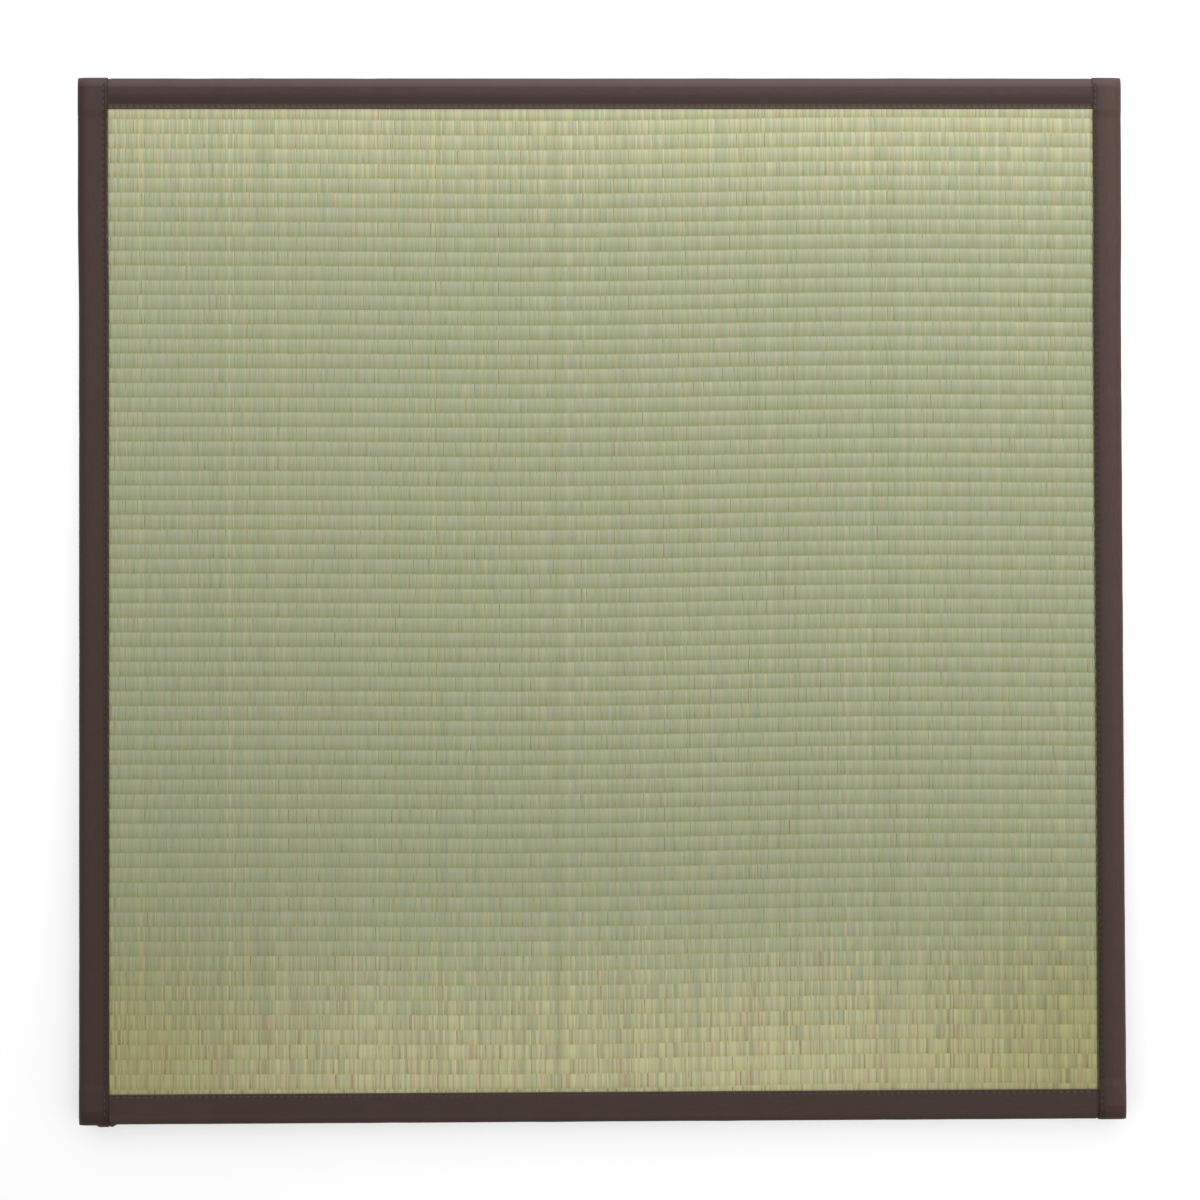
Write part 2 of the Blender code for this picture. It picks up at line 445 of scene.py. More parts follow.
def store(geometry, name, value, kind="FLOAT_VECTOR", domain="POINT"):
    settings = {"data_type": kind, "domain": domain}
    return geometry.node(
        "GeometryNodeStoreNamedAttribute", settings, {"Geometry": geometry, "Name": name, "Value": value})


def chance(ident, seed):
    """Three random numbers from 0 to 1 for each ident."""
    values = {0: (0, 0, 0), 1: (1, 1, 1), "ID": ident, "Seed": seed}
    picked = ident.node("FunctionNodeRandomValue", {"data_type": "FLOAT_VECTOR"}, values)
    parts = ident.node("ShaderNodeSeparateXYZ", None, {0: picked})
    return picked, parts, parts.out(1), parts.out(2)


index = wire.node("GeometryNodeInputIndex")
column = wire.math("FLOORED_MODULO", index, stalks)
rib_here = (index / stalks + 0.0001).floor()
rib_number = rib_here + first_rib
odd = wire.math("FLOORED_MODULO", rib_number, 2.0)
stalk_values, stalk_a, stalk_b, stalk_c = chance(column * 2.0 + odd, 11)
arc_values, _, arc_b, arc_c = chance(column + rib_number * 1000.0, 23)
_, slip_a, slip_b, slip_c = chance(column + rib_number * 1000.0, 37)
stalk_slip = (stalk_c - 0.5) * 0.25
arc_slip = (slip_a - 0.5) * 0.18
x_place = (column - (STALK_COUNT - 1) / 2 + odd * 0.5 - 0.25 + stalk_slip + arc_slip) * stalk_pitch
wavering = (wire.noise(wire.vector(x_place * 30.0, rib_number * 7.3), 1.0, 3.0, 0.6) - 0.5) * 0.0008
rib_place = HEM - (rib_number - 0.5 - RIB_HIDDEN) * RIB_PITCH
y_place = rib_place + wandering(x_place) + wavering + (slip_b - 0.5) * 0.00022
relief = 1.0 - (y_place * -1.0).step(0.12, 0.40) * FRONT_FLATTER - y_place.step(0.20, 0.38) * BACK_FLATTER
depth_here = rib_depth * relief
place = wire.vector(x_place, y_place, crest - depth_here)
points = wire.node("GeometryNodePoints", None, {"Count": ribs.math("MULTIPLY", ribs, stalks), "Position": place})
points = store(points, "stalk", stalk_values)
points = store(points, "arc", arc_values)
map_group = (column / float(MAP_COLUMNS)).floor()
map_column = column - map_group * float(MAP_COLUMNS)
map_row = map_group * float(BAND_RIBS) + rib_here
points = store(points, "map_cell", wire.vector(map_column, map_row))
points = store(points, "depth_here", depth_here, "FLOAT")

grid = wire.node("GeometryNodeMeshGrid", None, {"Size X": 2.0, "Size Y": 2.0, "Vertices X": 3, "Vertices Y": 5})
at = wire.node("ShaderNodeSeparateXYZ", None, {0: wire.node("GeometryNodeInputPosition")})
over = at.out(1)
along = wire.math("SIGN", over) * over.size() ** ARC_SPREAD * (ARC_REACH / 2)
rise = ((along + 0.5) * math.pi).sin()
taper = 1.0 - along.size().step(0.25, 0.60) * 0.12
strip = store(grid, "on_stalk", wire.vector(at * 0.5, along, along))
strip_shape = wire.vector(at * 0.5 * taper, along, rise - at * at * STALK_ROUND)
strip = wire.node("GeometryNodeSetPosition", None, {"Geometry": strip, "Position": strip_shape})

spin = wire.vector(0.0, 0.0, (slip_c - 0.5) * 0.05)
height_here = wire.node("GeometryNodeInputNamedAttribute", {"data_type": "FLOAT"}, {"Name": "depth_here"})
stretch = wire.vector(
    stalk_width * (stalk_b * 0.20 + arc_c * 0.12 + 0.84), RIB_PITCH,
    height_here * (arc_b * 0.08 + stalk_a * 0.08 + 0.92))
arcs = wire.node("GeometryNodeInstanceOnPoints", None, {
    "Points": points, "Instance": strip, "Rotation": spin, "Scale": stretch})
arcs = wire.node("GeometryNodeRealizeInstances", None, {0: arcs})
now = wire.node("ShaderNodeSeparateXYZ", None, {0: wire.node("GeometryNodeInputPosition")})
end_press = now.out(1).size().step(PRESS_START, PRESS_END) * -HEM_PRESS
side_press = now.size().step(HEM - 0.0002, HEM + 0.0012) * -0.0004
arcs = wire.node("GeometryNodeSetPosition", None, {
    "Geometry": arcs, "Offset": wire.vector(0.0, 0.0, end_press + side_press)})
cell = wire.node("GeometryNodeInputNamedAttribute", {"data_type": "FLOAT_VECTOR"}, {"Name": "map_cell"})
cell_x = wire.node("ShaderNodeSeparateXYZ", None, {0: cell})
on = wire.node("GeometryNodeInputNamedAttribute", {"data_type": "FLOAT_VECTOR"}, {"Name": "on_stalk"})
on_x = wire.node("ShaderNodeSeparateXYZ", None, {0: on})
map_u = (cell_x + 0.5 + on_x * 0.8) / float(MAP_COLUMNS)
map_v = (cell_x.out(1) + 0.5 + on_x.out(1) * (0.9 / ARC_REACH)) / float(MAP_GROUPS * BAND_RIBS)
arcs = store(arcs, "OFBake", wire.vector(map_u, map_v), "FLOAT2", "CORNER")
arcs = wire.node("GeometryNodeSetShadeSmooth", None, {"Geometry": arcs, "Shade Smooth": True})
arcs = wire.node("GeometryNodeSetMaterial", None, {"Geometry": arcs, "Material": rush})
wire.node("NodeGroupOutput", None, {0: arcs})


def grow(name, start, tree, values):
    """A piece made by a node tree from its starting mesh, turned into a plain mesh."""
    made = bpy.data.objects.new(name, start)
    bpy.context.scene.collection.objects.link(made)
    modifier = made.modifiers.new("grown", "NODES")
    modifier.node_group = tree
    for identifier, value in values.items():
        modifier[identifier] = value
    graph = bpy.context.evaluated_depsgraph_get()
    mesh = bpy.data.meshes.new_from_object(
        made.evaluated_get(graph), preserve_all_data_layers=True, depsgraph=graph)
    made.modifiers.clear()
    if mesh.materials[0] is None:
        mesh.materials.pop(index=0)
    made.data = mesh
    mesh.name = name
    return made


for band in range(BAND_COUNT):
    start_rib = band * BAND_RIBS
    band_ribs = min(BAND_RIBS, RIB_COUNT + 2 - start_rib)
    sizes = {weave_inputs["First rib"]: start_rib, weave_inputs["Ribs"]: band_ribs}
    piece = grow(f"rush_weave_{band + 1}", bpy.data.meshes.new("start"), weave, sizes)
    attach(piece, "root")

# Bindings: strips of plain brown cotton cloth with folded hems, laid over the edges of the mat and turned under it.
# The two end strips are machine-sewn on first. The side strips lap over them, and their ends are folded down.
CLOTH = 0.0012
STITCH_COUNT = 152
STITCH = 2 * TURN / STITCH_COUNT
SEAMS = {"back": 0.0020, "front": 0.0020, "left": 0.0026, "right": 0.0019}
STEPS_PER_STITCH = 3
GROOVE_DEPTH = 0.00035
GROOVE_WIDTH = 0.0007
DIMPLE_WIDTH = 0.0011
DIMPLE_SHADE = 0.85
PUCKER = 0.00007
PUCKER_WIDTH = 0.0025
BILLOW = 0.00016
HEM_WANDER = 0.00028
HEM_RIPPLE = 0.00012
CORNER_RADIUS = 0.0005
CAP_EASE = 0.0004
CAP_LENGTH = 0.0055
HEM_ROWS = (0.0135, 0.0100, 0.0075, 0.0055)
HEM_TURN = 0.0006
TUCK = 0.016
END_SPREADS = {"back": 0.0005, "front": 0.0006}
HEM_SHIFTS = {"back": -0.0014, "front": -0.0003, "left": 0.0005, "right": 0.0014}
RIGHT_LEAN = -0.0006
SIDE_BOWS = {"left": 0.0002, "right": 0.0003}
SPRING = 0.0013
SPRING_MIDDLE = HEM + 0.0027
SPRING_REACH = 0.0077
SPRING_EASE = 0.0024
SPREAD_BEYOND = 0.0008
SPREAD_EASE = 0.0022
PROUD = END_TOP - CREST
CLIMB_LENGTH = 0.007
CLIMB_END = HEM - LAYER
CLOTH_BROWN = (0.0433, 0.0228, 0.0170, 1)
CLOTH_FADED_AND_LIT = (0.0640, 0.0360, 0.0285, 1)
CLOTH_DARK = (0.0310, 0.0155, 0.0110, 1)
CLOTH_WORN_AND_SHEEN = (0.0690, 0.0446, 0.0432, 1)
BACK_SHADE = (0.55, 0.385, 0.30, 1)
RIM_SHADE = (0.80, 0.66, 0.52, 1)
FRONT_OUTER_LIGHT = (1.12, 1.20, 1.22, 1)
SEAM_SHADE = (0.78, 0.75, 0.63, 1)
HEM_HIGHLIGHT = (0.074, 0.047, 0.034, 1)
HOLE_SHADE = (0.010, 0.007, 0.005, 1)
YARN_PITCH = 0.0009
OUTER_BAND_FROM = HALF - 0.0083
OUTER_BAND_TO = HALF - 0.0075

cloth, cloth_shader, wire = new_finish("binding_cloth_brown")
cloth_long, cloth_round, cloth_hole = wire.attribute("on_cloth")
# Plain weave with slubs, unevenly faded, with painted light growing towards the right and the back of the mat
yarn_along = (cloth_long * (2 * math.pi / YARN_PITCH)).sin()
yarn_across = (cloth_round * (2 * math.pi / YARN_PITCH)).sin()
weft = yarn_along * yarn_across
cloth_place = wire.node("ShaderNodeTexCoord", None, None, 3)
mottle = wire.noise(cloth_place, 55.0, 4.0, 0.6)
slub = wire.noise(wire.vector(cloth_long * 90.0, cloth_round * 900.0), 1.0, 3.0, 0.6)
cloth_spot = wire.node("ShaderNodeSeparateXYZ", None, {0: cloth_place})
cloth_x, cloth_y = cloth_spot, cloth_spot.out(1)
leftward, frontward = cloth_x * -1.0, cloth_y * -1.0
fading_and_light = cloth_x.step(-0.5, 0.5) * 0.55 + cloth_y.step(-0.42, 0.42) * 0.45 + (mottle - 0.5) * 0.8
cloth_colour = fading_and_light.mix(CLOTH_BROWN, CLOTH_FADED_AND_LIT)
cloth_colour = (weft * 0.22 + slub * 0.5).step(0.0, 0.6).mix(CLOTH_DARK, cloth_colour)
# Each strip is painted lighter or darker by how light falls on it: painted shade towards the back strip's hem,
# painted light on the right strip growing towards its outer edge and on the front strip, painted shade on the left
# strip's outer edge, and painted light on the front strip's outer edge
on_side = cloth_x.size().step(HEM - 0.0004, HEM + 0.0004)
at_back = cloth_y.step(0.30, 0.31) * (1.0 - on_side)
hemward_shade = frontward.step(-OUTER_BAND_FROM, 0.0092 - OUTER_BAND_FROM) * at_back
cloth_colour = hemward_shade.mix(cloth_colour, hemward_shade.mix(cloth_colour, BACK_SHADE, "MULTIPLY"))
light_to_right = cloth_x.step(HEM + 0.0050, HALF - 0.0055) * 0.42
light_and_shade_to_left = leftward.step(HALF - 0.0080, HALF - 0.0030) * 0.20 - leftward.step(0.30, 0.31) * 0.06
light_to_front = frontward.step(0.30, 0.31) * (1.0 - on_side) * 0.09
front_outer_light = frontward.step(HALF - 0.0115, HALF - 0.0065) * (1.0 - on_side)
cloth_colour = wire.node("ShaderNodeVectorMath", {"operation": "SCALE"}, {
    0: cloth_colour, "Scale": light_to_right - light_and_shade_to_left + light_to_front + 1.0})
cloth_colour = front_outer_light.mix(cloth_colour, front_outer_light.mix(cloth_colour, FRONT_OUTER_LIGHT, "MULTIPLY"))
# Painted shade where the left and front rims and the folded-down front ends of the side strips turn away from the
# light
left_rim = leftward.step(HALF - 0.0034, HALF - 0.0030)
front_rim = frontward.step(HALF - 0.0036, HALF - 0.0032)
folded_end = frontward.step(HALF - 0.0120, HALF - 0.0112) * on_side
rim = wire.math("MAXIMUM", wire.math("MAXIMUM", left_rim, front_rim), folded_end)
cloth_colour = rim.mix(cloth_colour, rim.mix(cloth_colour, RIM_SHADE, "MULTIPLY"))
# Painted shade in the groove along each side seam
seam_zone = (1.0 - (cloth_x - 0.0004).size().step(HEM + 0.0048, HEM + 0.0064)) * on_side
cloth_colour = seam_zone.mix(cloth_colour, seam_zone.mix(cloth_colour, SEAM_SHADE, "MULTIPLY"))
# A painted highlight on the folded hem of each end strip, stronger on the front strip
end_hem_highlight = (1.0 - cloth_y.size().step(HEM + 0.0021, HEM + 0.0030)) * (1.0 - on_side)
end_hem_highlight = end_hem_highlight * (cloth_y.step(-0.3, 0.3) * 0.50 + 0.22)
cloth_colour = end_hem_highlight.mix(cloth_colour, HEM_HIGHLIGHT)
# The outer edge at the back is worn pale and carries a painted sheen where it rounds over towards the light, and each
# stitch sinks the cloth into a dimple that is painted dark as shade
worn_and_sheen = cloth_y.step(OUTER_BAND_FROM, OUTER_BAND_TO) * (mottle * 0.5 + 0.62) * (1.0 - on_side * 0.35)
cloth_colour = worn_and_sheen.mix(cloth_colour, CLOTH_WORN_AND_SHEEN)
cloth_colour = (cloth_hole * DIMPLE_SHADE).mix(cloth_colour, HOLE_SHADE)
feed(cloth_shader, "Base Color", cloth_colour)
cloth_height = weft * 0.6 + slub * 0.8
feed(cloth_shader, "Normal", wire.node("ShaderNodeBump", None, {
    "Strength": 0.5, "Distance": 0.00012, "Height": cloth_height}))
cloth_shader.inputs["Roughness"].default_value = 0.62
cloth_shader.inputs["Specular IOR Level"].default_value = 0.3


def half_section(radius, top, seam):
    """Half of the cloth's section, from the middle of the mat's edge up over the face, round the hem and back.

    Each row is how far out, how high, how deep in the cloth, the way it faces (out and up), its distance along the
    outer surface from the middle of the edge, and its distance from the hem, or 1 where no seam can reach."""
    middle = HEIGHT / 2 if radius == EDGE_RADIUS else (END_TOP + LAYER) / 2
    rows = [(TURN + radius, middle, 0, 1, 0, 0, 1)]
    straight = top - radius - middle
    for turn in np.radians([0, 22, 44, 66, 90]):
        rows.append((TURN + radius * np.cos(turn), top - radius + radius * np.sin(turn), 0,
                     np.cos(turn), np.sin(turn), straight + radius * turn, 1))
    round_end = straight + radius * np.pi / 2
    seam_rows = (seam + 0.0014, seam + 0.0007, seam, seam - 0.0006)
    for hem in (*HEM_ROWS, *seam_rows, 0.0010, 0.0008, HEM_TURN):
        rows.append((HEM + hem, top, 0, 0, 1, round_end + TURN - HEM - hem, hem))
    for turn in np.radians([45, 90, 135]):
        rows.append((HEM + CLOTH / 2 * (1 - np.sin(turn)), top - CLOTH / 2 * (1 - np.cos(turn)),
                     CLOTH / 2 * (1 - np.cos(turn)), -np.sin(turn), np.cos(turn),
                     round_end + TURN - HEM - HEM_TURN + CLOTH / 2 * turn, 0))
    inner = radius - CLOTH
    hem_end = round_end + TURN - HEM - HEM_TURN + CLOTH / 2 * np.pi
    rows.append((HEM + HEM_TURN, top - CLOTH, CLOTH, 0, 0, hem_end, 1))
    rows.append((HEM + 0.0030, top - CLOTH, CLOTH, 0, 0, hem_end + 0.0024, 1))
    for turn in np.radians([90, 45, 0]):
        rows.append((TURN + inner * np.cos(turn), top - radius + inner * np.sin(turn), CLOTH, 0, 0,
                     hem_end + TUCK + inner * (np.pi / 2 - turn), 1))
    rows.append((TURN + inner, middle, CLOTH, 0, 0, hem_end + TUCK + inner * np.pi / 2 + straight, 1))
    return np.array(rows), middle


def drift(length, places, seed, knots):
    """A smooth wandering value from -1 to 1 along a strip, the same on each run."""
    picked = np.random.default_rng(seed).uniform(-1, 1, knots + 3)
    at = (np.asarray(places) / length + 0.5) * knots
    low = np.clip(np.floor(at).astype(int), 0, knots)
    part = np.clip(at - low, 0, 1)
    part = part * part * (3 - 2 * part)
    return picked[low] * (1 - part) + picked[low + 1] * part


def strip_rings(radius, top, seam, run, seed, pull, hem_out, groove_shade):
    """The cloth's whole section at each place along the strip: out, up, along, and the values for its material."""
    rows, middle = half_section(radius, top, seam)
    out, up, depth, face_out, face_up, on_round, hem = rows.T
    count = len(rows)
    order = np.concatenate([np.arange(count), np.arange(count - 2, 0, -1)])
    side = np.concatenate([np.ones(count), -np.ones(count - 2)])
    outer = (depth[order] == 0) & (hem[order] < 1)
    shape_hem = np.where(outer, hem[order], 1.0)
    from_seam = np.abs(shape_hem - seam)
    at_seam = np.exp(-(from_seam / GROOVE_WIDTH) ** 2)
    at_dimple = np.exp(-(from_seam / DIMPLE_WIDTH) ** 2)
    near_seam = np.exp(-from_seam / PUCKER_WIDTH)
    phase = (run + TURN) / STITCH
    at_hole = 0.5 + 0.5 * np.cos(2 * np.pi * phase)
    billow = drift(2 * HALF, run, seed, 26)[:, None] * drift(2 * HALF, run, seed + 1, 47)[:, None]
    lift = BILLOW * billow * np.where(depth[order] == 0, 1, 0.5)[None, :]
    lift = lift - GROOVE_DEPTH * (0.65 + 0.35 * at_hole[:, None]) * at_seam[None, :]
    lift = lift - PUCKER * np.cos(2 * np.pi * phase)[:, None] * near_seam[None, :]
    hem_drift = HEM_WANDER * drift(2 * HALF, run, seed + 2, 18)
    hem_drift = hem_drift + HEM_RIPPLE * drift(2 * HALF, run, seed + 3, 75)
    edge_part = np.clip(1 - shape_hem / seam, 0, 1)[None, :]
    inward = (TURN + radius - out[order]) / (TURN + radius - HEM)
    across = out[order][None, :] + hem_out[:, None] * inward[None, :] - pull[:, None] * (1 - inward[None, :])
    across = across + hem_drift[:, None] * edge_part
    across = across + lift * face_out[order][None, :]
    rise = (up[order] - middle)[None, :] + lift * face_up[order][None, :]
    rounded = side * on_round[order]
    # Where the cloth is painted dark as shade: at each stitch dimple, and faintly all along the grooves of the side
    # seams
    hole = at_dimple[None, :] * (groove_shade + (1 - groove_shade) * at_hole[:, None] ** 2) * outer[None, :]
    return across, middle + side[None, :] * rise, depth[order], rounded, hole, middle


def cloth_piece(name, grid, rounded, run, hole, twin):
    """A strip of cloth as a closed thin shell. Twin joins the folded-down ends along the middle of the edge."""
    rings, around = grid.shape[:2]
    index = np.arange(rings * around).reshape(rings, around)
    if twin:
        back = (-np.arange(around)) % around
        for end in (0, rings - 1):
            index[end] = np.minimum(index[end], index[end][back])
    wrapped = np.concatenate([index, index[:, :1]], 1)
    faces = quads(wrapped)
    used, renumbered = np.unique(faces, return_inverse=True)
    faces = renumbered.reshape(faces.shape)
    faces = faces.tolist()
    if not twin:
        faces += [index[0][::-1].tolist(), index[-1].tolist()]
    piece = add_piece(name, grid.reshape(-1, 3)[used], faces, [cloth])
    mesh = piece.data
    place = np.stack(np.broadcast_arrays(run[:, None], rounded[None, :], hole), -1).reshape(-1, 3)[used]
    stored = mesh.attributes.new("on_cloth", "FLOAT_VECTOR", "POINT")
    stored.data.foreach_set("vector", place.astype(np.float32).ravel())
    # The map lays the strip out in four parts, one above the other, with less room for its hidden inner layer
    share = np.abs(np.diff(np.append(rounded, rounded[0])))
    share[around // 2] = share[around // 2 - 1]
    is_inner = np.arange(around)
    weight = np.where((is_inner > around * 0.36) & (is_inner < around * 0.64), 0.35, 1.0)
    edges = np.append(0, np.cumsum(share * weight + 0.0002))
    edges = edges / edges[-1]
    quarter_rings = math.ceil((rings - 1) / 4)
    ring = np.repeat(np.arange(rings - 1), around)
    spot = np.tile(np.arange(around), rings - 1)
    part = ring // quarter_rings
    u_low = (ring - part * quarter_rings) / quarter_rings
    v_low, v_high = edges[spot], edges[spot + 1]
    u = np.stack([u_low, u_low, u_low + 1 / quarter_rings, u_low + 1 / quarter_rings], -1) * 0.98 + 0.01
    v = (part[:, None] + 0.02 + 0.96 * np.stack([v_low, v_high, v_high, v_low], -1)) / 4
    uv = np.stack([u, v], -1).reshape(-1, 2)
    layer = mesh.uv_layers.new(name="OFBake")
    full = np.zeros((len(mesh.loops), 2), np.float32)
    full[: len(uv)] = uv
    if not twin:
        turn = np.arange(2 * around) * 2 * np.pi / around
        full[len(uv):, 0] = 0.004 + 0.003 * np.cos(turn)
        full[len(uv):, 1] = np.repeat([0.25, 0.75], around) + 0.2 * np.sin(turn)
    layer.data.foreach_set("uv", full.ravel())
    joined = bmesh.new()
    joined.from_mesh(mesh)
    bmesh.ops.remove_doubles(joined, verts=joined.verts, dist=1e-6)
    joined.to_mesh(mesh)
    joined.free()
    mesh.set_sharp_from_angle(angle=math.radians(60))
    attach(piece, "root")
    return piece


def sprung(x):
    """How far the folded cloth at the front left corner springs out, for a place across the mat."""
    part = np.clip((SPRING_REACH - np.abs(x + SPRING_MIDDLE)) / SPRING_EASE, 0, 1)
    return SPRING * part * part * (3 - 2 * part)


def flare(run):
    """How far the side bindings swing out towards the back corners, for a place along them."""
    part = np.clip((run - FLARE_FROM) / (FLARE_TO - FLARE_FROM), 0, 1)
    return FLARE * part * part * (3 - 2 * part)


run = np.linspace(-TURN, TURN, STITCH_COUNT * STEPS_PER_STITCH + 1)
for name, sign, seed in (("back", 1, 100), ("front", -1, 200)):
    side_hem = HEM + np.where(run < 0, HEM_SHIFTS["left"], HEM_SHIFTS["right"])
    spread = np.clip((side_hem + SPREAD_BEYOND - np.abs(run)) / SPREAD_EASE, 0, 1)
    pull = -(LAYER - END_SPREADS[name]) * spread * spread * (3 - 2 * spread)
    if sign < 0:
        pull = pull - sprung(run) * (1 + spread * END_SPREADS[name] / SPRING)
    across, high, depth, rounded, hole, middle = strip_rings(
        EDGE_RADIUS - LAYER, END_TOP, SEAMS[name], run, seed, pull, 0 * run + HEM_SHIFTS[name], 0.0)
    along = np.broadcast_to(run[:, None], across.shape)
    grid = np.stack([along, sign * across, high], -1)
    if sign < 0:
        grid = grid[::-1]
        hole = hole[::-1]
    piece = cloth_piece("end_binding_" + name, grid, rounded, sign * run, hole, False)
    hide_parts("binding_" + name)

turns = np.radians([15, 30, 45, 60, 75, 90])
for name, sign, seed, lean in (("left", -1, 300, 0.0), ("right", 1, 400, RIGHT_LEAN)):
    folds = len(turns)
    flat_run = np.concatenate([np.full(folds + 4, -TURN), run, np.full(folds + 4, TURN)])
    pull = SIDE_BOWS[name] * np.cos(np.pi * flat_run / (2 * HALF)) - flare(flat_run)
    hem_out = HEM_SHIFTS[name] + lean * flat_run / HALF + flare(flat_run)
    across, high, depth, rounded, hole, middle = strip_rings(
        EDGE_RADIUS, HEIGHT, SEAMS[name], flat_run, seed, pull, hem_out, 0.15)
    climb = np.clip((np.abs(flat_run) - CLIMB_END + CLIMB_LENGTH) / CLIMB_LENGTH, 0, 1)
    climb = climb * climb * (3 - 2 * climb)
    upper = np.clip((high - middle) / (HEIGHT / 2 - EDGE_RADIUS), 0, 1)
    high = np.maximum(high - PROUD * (1 - climb[:, None]) * upper, 0)
    along = np.repeat(flat_run[:, None], across.shape[1], 1)
    ramp = flat_run.copy()
    # Each end bends down over the end of the mat in six rings, and four more draw it in to a line at mid-height
    for end, direction in ((0, -1), (1, 1)):
        for step in range(folds + 4):
            row = len(flat_run) - 1 - step if end else step
            if step >= 4:
                turn = turns[folds - 1 - (step - 4)]
                squeeze = 1.0
            else:
                turn = turns[-1]
                squeeze = step / 4
            bend = EDGE_RADIUS - depth
            fall = bend * (1 - np.cos(turn)) / (HEIGHT / 2 - depth)
            ease = (1 - squeeze) * CAP_EASE * np.clip((across[row] - HEM) / (HALF - HEM), 0, 1)
            across[row] -= ease * (np.abs(high[row] - middle) > 1e-6)
            high[row] = middle + (high[row] - middle) * (1 - fall) * squeeze
            along[row] = direction * (TURN + bend * np.sin(turn))
            if sign < 0 and direction < 0:
                along[row] -= sprung(-across[row]) * min(step / 4, 1)
            gap = EDGE_RADIUS * (1 - np.sin(turn))
            if gap < CORNER_RADIUS:
                inset = CORNER_RADIUS - math.sqrt(CORNER_RADIUS ** 2 - (CORNER_RADIUS - gap) ** 2)
                share = np.clip((across[row] - HEM) / (HALF - HEM), 0, 1) ** 2
                across[row] = across[row] - inset * share
            ramp[row] = direction * (TURN + EDGE_RADIUS * turn + (1 - squeeze) * CAP_LENGTH)
            hole[row] = 0
    grid = np.stack([sign * across, along, high], -1)
    if sign > 0:
        grid = grid[::-1]
        ramp = ramp[::-1]
        hole = hole[::-1]
    piece = cloth_piece("side_binding_" + name, grid, rounded, ramp, hole, True)
    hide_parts("binding_" + name)

# Stitches: one line of brown sewing thread near the hem of each binding, sewn by machine right through the mat. The
# side seams run on over the end bindings. Each stitch is a short raised length of thread that dips into the cloth.
THREAD = 0.00042
STITCH_DIP = -0.8
STITCH_ARCH = 1.3
STITCH_VISIBLE = 0.0040
THREAD_COLOUR = (0.105, 0.068, 0.052, 1)
THREAD_DARK = (0.060, 0.036, 0.028, 1)
THREAD_SUNK_SHADE = (0.56, 0.53, 0.48, 1)
THREAD_SUNK = 0.00018
THREAD_SUNK_UNDER = 0.00036

thread, thread_shader, wire = new_finish("sewing_thread")
thread_place = wire.node("ShaderNodeTexCoord", None, None, 3)
twist = wire.noise(thread_place, 1500.0, 2.0)
thread_spot = wire.node("ShaderNodeSeparateXYZ", None, {0: thread_place})
# Painted shade on the thread of the side seams, where it sinks into the dimples
dimple = thread_spot.size().step(HEM - 0.001, HEM) * (1.0 - thread_spot.out(1).size().step(HEM - 0.004, HEM))
thread_tone = twist.mix(THREAD_DARK, THREAD_COLOUR)
feed(thread_shader, "Base Color", dimple.mix(thread_tone, dimple.mix(thread_tone, THREAD_SUNK_SHADE, "MULTIPLY")))
thread_shader.inputs["Roughness"].default_value = 0.6

sewing = bpy.data.node_groups.new("machine_stitches", "GeometryNodeTree")
sewing_inputs = {}
for label, kind, value in (
    ("Seams", "NodeSocketGeometry", None),
    ("Stitch pitch", "NodeSocketFloat", STITCH),
    ("Stitch length", "NodeSocketFloat", STITCH_VISIBLE),
    ("Thread", "NodeSocketFloat", THREAD),
    ("Upwards", "NodeSocketFloat", 1.0),
):
    socket = sewing.interface.new_socket(label, in_out="INPUT", socket_type=kind)
    if value is not None:
        socket.default_value = value
    sewing_inputs[label] = socket.identifier
sewing.interface.new_socket("Geometry", in_out="OUTPUT", socket_type="NodeSocketGeometry")
wire = Wire(sewing)
seams = wire.node("NodeGroupInput")
pitch, length, thickness, upwards = seams.out(1), seams.out(2), seams.out(3), seams.out(4)
paths = wire.node("GeometryNodeMeshToCurve", None, {"Mesh": seams})
spots = wire.node("GeometryNodeResampleCurve", {"mode": "LENGTH"}, {"Curve": paths, "Length": pitch})
tangent = wire.node("GeometryNodeInputTangent")
turn = wire.node("FunctionNodeAlignRotationToVector", {"axis": "X"}, {"Vector": tangent})
arch = wire.node("GeometryNodeCurveQuadraticBezier", None, {
    "Resolution": 4,
    "Start": wire.vector(length * -0.5, 0.0, thickness * upwards * STITCH_DIP),
    "Middle": wire.vector(0.0, 0.0, thickness * upwards * STITCH_ARCH),
    "End": wire.vector(length * 0.5, 0.0, thickness * upwards * STITCH_DIP),
})
twine = wire.node("GeometryNodeCurvePrimitiveCircle", None, {"Resolution": 5, "Radius": thickness * 0.5})
stitch = wire.node("GeometryNodeCurveToMesh", None, {
    "Curve": arch, "Profile Curve": twine, "Fill Caps": True})
_, lean_a, lean_b, lean_c = chance(wire.node("GeometryNodeInputIndex") + 1.0, 5)
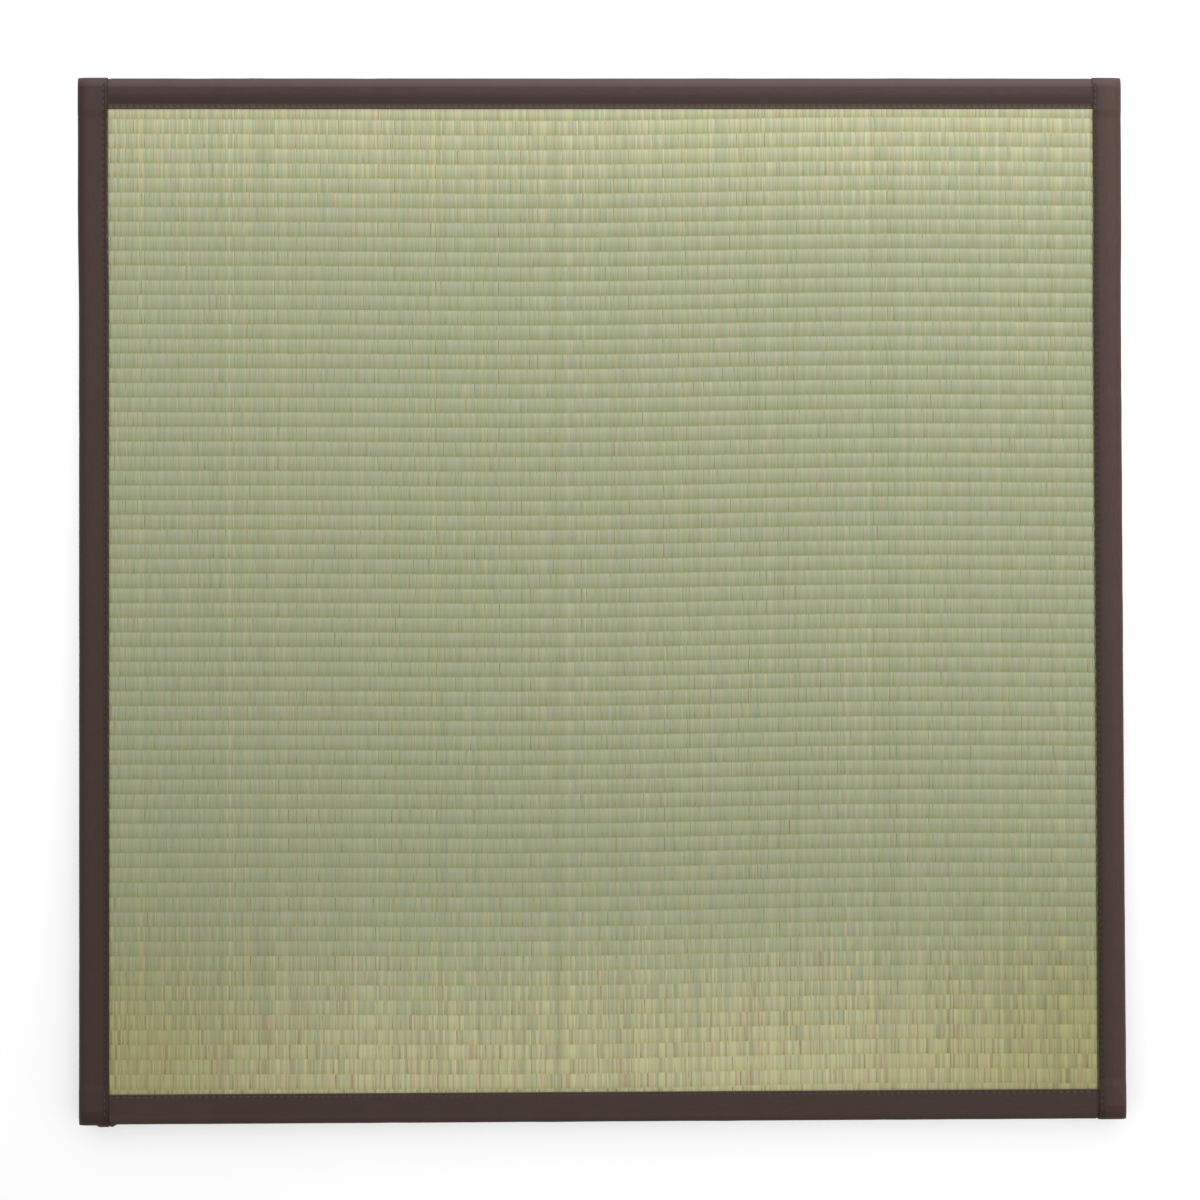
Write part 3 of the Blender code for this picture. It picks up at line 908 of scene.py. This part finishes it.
lean = wire.node("FunctionNodeRotateRotation", {"rotation_space": "LOCAL"}, {
    "Rotation": turn, "Rotate By": wire.vector(0.0, 0.0, (lean_a - 0.5) * 0.12 + 0.05)})
uneven = wire.vector(lean_b * 0.16 + 0.92, 1.0, lean_c * 0.2 + 0.9)
stitches = wire.node("GeometryNodeInstanceOnPoints", None, {
    "Points": spots, "Instance": stitch, "Rotation": lean, "Scale": uneven})
stitches = wire.node("GeometryNodeRealizeInstances", None, {0: stitches})
stitches = wire.node("GeometryNodeSetShadeSmooth", None, {"Geometry": stitches, "Shade Smooth": True})
stitches = wire.node("GeometryNodeSetMaterial", None, {"Geometry": stitches, "Material": thread})
wire.node("NodeGroupOutput", None, {0: stitches})


def seam_mesh(upper):
    """The four seams as lines, from the middle of the first stitch to the middle of the last."""
    points, edges = [], []
    for sign, side_name, end_name, lean in ((-1, "left", "front", 0.0), (1, "right", "back", RIGHT_LEAN)):
        reach = TURN - STITCH / 2
        for place in np.linspace(-reach, reach, STITCH_COUNT):
            climb = min(max((abs(place) - CLIMB_END + CLIMB_LENGTH) / CLIMB_LENGTH, 0), 1)
            climb = climb * climb * (3 - 2 * climb)
            high = HEIGHT - PROUD * (1 - climb) - THREAD_SUNK if upper else THREAD_SUNK_UNDER
            shift = HEM_SHIFTS[side_name] + lean * place / HALF + flare(place)
            points.append((sign * (HEM + SEAMS[side_name] + shift), place, high))
            if abs(place + reach) > 1e-6:
                edges.append((len(points) - 2, len(points) - 1))
        skipped = math.ceil((TURN - HEM) / STITCH)
        reach = TURN - STITCH / 2 - skipped * STITCH
        high = END_TOP - THREAD_SUNK if upper else LAYER + THREAD_SUNK
        line = sign * (HEM + SEAMS[end_name] + HEM_SHIFTS[end_name])
        points += [(-reach, line, high), (reach, line, high)]
        edges.append((len(points) - 2, len(points) - 1))
    mesh = bpy.data.meshes.new("seams")
    mesh.from_pydata(points, edges, [])
    return mesh


for name, upper in (("face", True), ("under", False)):
    facing = {sewing_inputs["Upwards"]: 1.0 if upper else -1.0}
    piece = grow("seam_stitches_" + name, seam_mesh(upper), sewing, facing)
    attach(piece, "root")
